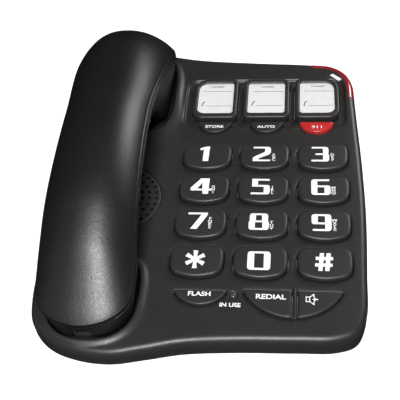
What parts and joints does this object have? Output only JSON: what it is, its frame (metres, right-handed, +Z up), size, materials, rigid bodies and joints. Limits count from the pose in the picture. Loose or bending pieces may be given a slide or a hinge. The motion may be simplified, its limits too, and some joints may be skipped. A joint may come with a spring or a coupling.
{
  "type": "desk telephone",
  "caption": "Desk telephone with large raised dialling keys, windowed memory keys, a handset lying in cradle pockets on its left, a round loudspeaker grille and a red ringer light.",
  "frame": {"origin": "middle of the underside, on the surface the feet stand on", "axes": "+Z up, +Y away from the user towards the rear edge, +X to the user's right; the handset lies on the -X side"},
  "size_m": [0.1868, 0.2284, 0.0898],
  "materials": {
    "case_plastic": "fine moulded texture, dark warm grey",
    "handset_plastic": "fine spark-eroded texture, near black",
    "key_plastic": "smooth satin, dark grey",
    "red_key": "glossy red",
    "red_lens": "glossy translucent red",
    "clear_lens": "clear polished",
    "paper": "matt white card",
    "rubber": "matt black rubber",
    "silicone": "soft grey silicone",
    "circuit": "green solder resist",
    "steel": "zinc-plated",
    "cone_paper": "dark pressed paper"
  },
  "bodies": {
    "base": {"base_top_cover": "case_plastic", "ringer_light_lens": "red_lens", "base_bottom_cover": "case_plastic", "rubber_foot_front_left": "rubber", "rubber_foot_front_right": "rubber", "rubber_foot_rear_left": "rubber", "rubber_foot_rear_right": "rubber", "base_screw_1": "steel", "base_screw_2": "steel", "base_screw_3": "steel", "base_screw_4": "steel", "in_use_light": "clear_lens", "keypad_mat": "silicone", "keypad_board": "circuit", "main_board": "circuit", "speaker_grille": "case_plastic", "loudspeaker_frame": "steel", "loudspeaker_cone": "cone_paper", "line_jack": "key_plastic", "base_handset_jack": "key_plastic"},
    "handset": {"handset_back_shell": "handset_plastic", "handset_face_shell": "handset_plastic", "receiver_capsule": "steel", "microphone_capsule": "steel", "handset_weight": "steel", "handset_jack": "key_plastic", "handset_screw_1": "steel", "handset_screw_2": "steel"},
    "hook_plunger": {"hook_plunger": "key_plastic"},
    "dial_key_1": {"dial_key_1": "key_plastic"},
    "dial_key_2": {"dial_key_2": "key_plastic"},
    "dial_key_3": {"dial_key_3": "key_plastic"},
    "dial_key_4": {"dial_key_4": "key_plastic"},
    "dial_key_5": {"dial_key_5": "key_plastic"},
    "dial_key_6": {"dial_key_6": "key_plastic"},
    "dial_key_7": {"dial_key_7": "key_plastic"},
    "dial_key_8": {"dial_key_8": "key_plastic"},
    "dial_key_9": {"dial_key_9": "key_plastic"},
    "dial_key_star": {"dial_key_star": "key_plastic"},
    "dial_key_0": {"dial_key_0": "key_plastic"},
    "dial_key_hash": {"dial_key_hash": "key_plastic"},
    "key_store": {"key_store": "key_plastic"},
    "key_auto": {"key_auto": "key_plastic"},
    "key_emergency": {"key_emergency": "red_key"},
    "key_flash": {"key_flash": "key_plastic"},
    "key_redial": {"key_redial": "key_plastic"},
    "key_speaker": {"key_speaker": "key_plastic"},
    "memory_key_left": {"memory_key_left": "key_plastic", "memory_card_left": "paper", "memory_lens_left": "clear_lens"},
    "memory_key_middle": {"memory_key_middle": "key_plastic", "memory_card_middle": "paper", "memory_lens_middle": "clear_lens"},
    "memory_key_right": {"memory_key_right": "key_plastic", "memory_card_right": "paper", "memory_lens_right": "clear_lens"},
    "ringer_switch": {"ringer_switch": "key_plastic"},
    "volume_slider": {"volume_slider": "key_plastic"}
  },
  "joints": [
    {"name": "handset_lift", "type": "slide", "parent": "base", "child": "handset", "axis": [0, -0.1564, 0.9877], "range_m": [0, 0.15]},
    {"name": "hook_plunger_rise", "type": "slide", "parent": "base", "child": "hook_plunger", "axis": [0, -0.1564, 0.9877], "range_m": [0, 0.0042]},
    {"name": "dial_key_1_press", "type": "slide", "parent": "base", "child": "dial_key_1", "axis": [0, 0.1564, -0.9877], "range_m": [0, 0.0016], "stiffness_N_per_m": 400, "springref_m": -0.002},
    {"name": "dial_key_2_press", "type": "slide", "parent": "base", "child": "dial_key_2", "axis": [0, 0.1564, -0.9877], "range_m": [0, 0.0016], "stiffness_N_per_m": 400, "springref_m": -0.002},
    {"name": "dial_key_3_press", "type": "slide", "parent": "base", "child": "dial_key_3", "axis": [0, 0.1564, -0.9877], "range_m": [0, 0.0016], "stiffness_N_per_m": 400, "springref_m": -0.002},
    {"name": "dial_key_4_press", "type": "slide", "parent": "base", "child": "dial_key_4", "axis": [0, 0.1564, -0.9877], "range_m": [0, 0.0016], "stiffness_N_per_m": 400, "springref_m": -0.002},
    {"name": "dial_key_5_press", "type": "slide", "parent": "base", "child": "dial_key_5", "axis": [0, 0.1564, -0.9877], "range_m": [0, 0.0016], "stiffness_N_per_m": 400, "springref_m": -0.002},
    {"name": "dial_key_6_press", "type": "slide", "parent": "base", "child": "dial_key_6", "axis": [0, 0.1564, -0.9877], "range_m": [0, 0.0016], "stiffness_N_per_m": 400, "springref_m": -0.002},
    {"name": "dial_key_7_press", "type": "slide", "parent": "base", "child": "dial_key_7", "axis": [0, 0.1564, -0.9877], "range_m": [0, 0.0016], "stiffness_N_per_m": 400, "springref_m": -0.002},
    {"name": "dial_key_8_press", "type": "slide", "parent": "base", "child": "dial_key_8", "axis": [0, 0.1564, -0.9877], "range_m": [0, 0.0016], "stiffness_N_per_m": 400, "springref_m": -0.002},
    {"name": "dial_key_9_press", "type": "slide", "parent": "base", "child": "dial_key_9", "axis": [0, 0.1564, -0.9877], "range_m": [0, 0.0016], "stiffness_N_per_m": 400, "springref_m": -0.002},
    {"name": "dial_key_star_press", "type": "slide", "parent": "base", "child": "dial_key_star", "axis": [0, 0.1564, -0.9877], "range_m": [0, 0.0016], "stiffness_N_per_m": 400, "springref_m": -0.002},
    {"name": "dial_key_0_press", "type": "slide", "parent": "base", "child": "dial_key_0", "axis": [0, 0.1564, -0.9877], "range_m": [0, 0.0016], "stiffness_N_per_m": 400, "springref_m": -0.002},
    {"name": "dial_key_hash_press", "type": "slide", "parent": "base", "child": "dial_key_hash", "axis": [0, 0.1564, -0.9877], "range_m": [0, 0.0016], "stiffness_N_per_m": 400, "springref_m": -0.002},
    {"name": "key_store_press", "type": "slide", "parent": "base", "child": "key_store", "axis": [0, 0.1564, -0.9877], "range_m": [0, 0.0014], "stiffness_N_per_m": 350, "springref_m": -0.002},
    {"name": "key_auto_press", "type": "slide", "parent": "base", "child": "key_auto", "axis": [0, 0.1564, -0.9877], "range_m": [0, 0.0014], "stiffness_N_per_m": 350, "springref_m": -0.002},
    {"name": "key_emergency_press", "type": "slide", "parent": "base", "child": "key_emergency", "axis": [0, 0.1564, -0.9877], "range_m": [0, 0.0014], "stiffness_N_per_m": 350, "springref_m": -0.002},
    {"name": "key_flash_press", "type": "slide", "parent": "base", "child": "key_flash", "axis": [0, 0.1564, -0.9877], "range_m": [0, 0.0014], "stiffness_N_per_m": 350, "springref_m": -0.002},
    {"name": "key_redial_press", "type": "slide", "parent": "base", "child": "key_redial", "axis": [0, 0.1564, -0.9877], "range_m": [0, 0.0014], "stiffness_N_per_m": 350, "springref_m": -0.002},
    {"name": "key_speaker_press", "type": "slide", "parent": "base", "child": "key_speaker", "axis": [0, 0.1564, -0.9877], "range_m": [0, 0.0014], "stiffness_N_per_m": 350, "springref_m": -0.002},
    {"name": "memory_key_left_press", "type": "slide", "parent": "base", "child": "memory_key_left", "axis": [0, 0.1564, -0.9877], "range_m": [0, 0.0014], "stiffness_N_per_m": 450, "springref_m": -0.002},
    {"name": "memory_key_middle_press", "type": "slide", "parent": "base", "child": "memory_key_middle", "axis": [0, 0.1564, -0.9877], "range_m": [0, 0.0014], "stiffness_N_per_m": 450, "springref_m": -0.002},
    {"name": "memory_key_right_press", "type": "slide", "parent": "base", "child": "memory_key_right", "axis": [0, 0.1564, -0.9877], "range_m": [0, 0.0014], "stiffness_N_per_m": 450, "springref_m": -0.002},
    {"name": "ringer_switch_slide", "type": "slide", "parent": "base", "child": "ringer_switch", "axis": [0, 1, 0], "range_m": [-0.003, 0.003]},
    {"name": "volume_slider_slide", "type": "slide", "parent": "base", "child": "volume_slider", "axis": [0, 1, 0], "range_m": [-0.006, 0.006]}
  ],
  "couplings": [
    {"joint": "hook_plunger_rise", "follows": "handset_lift", "ratio": 0.0267}
  ]
}
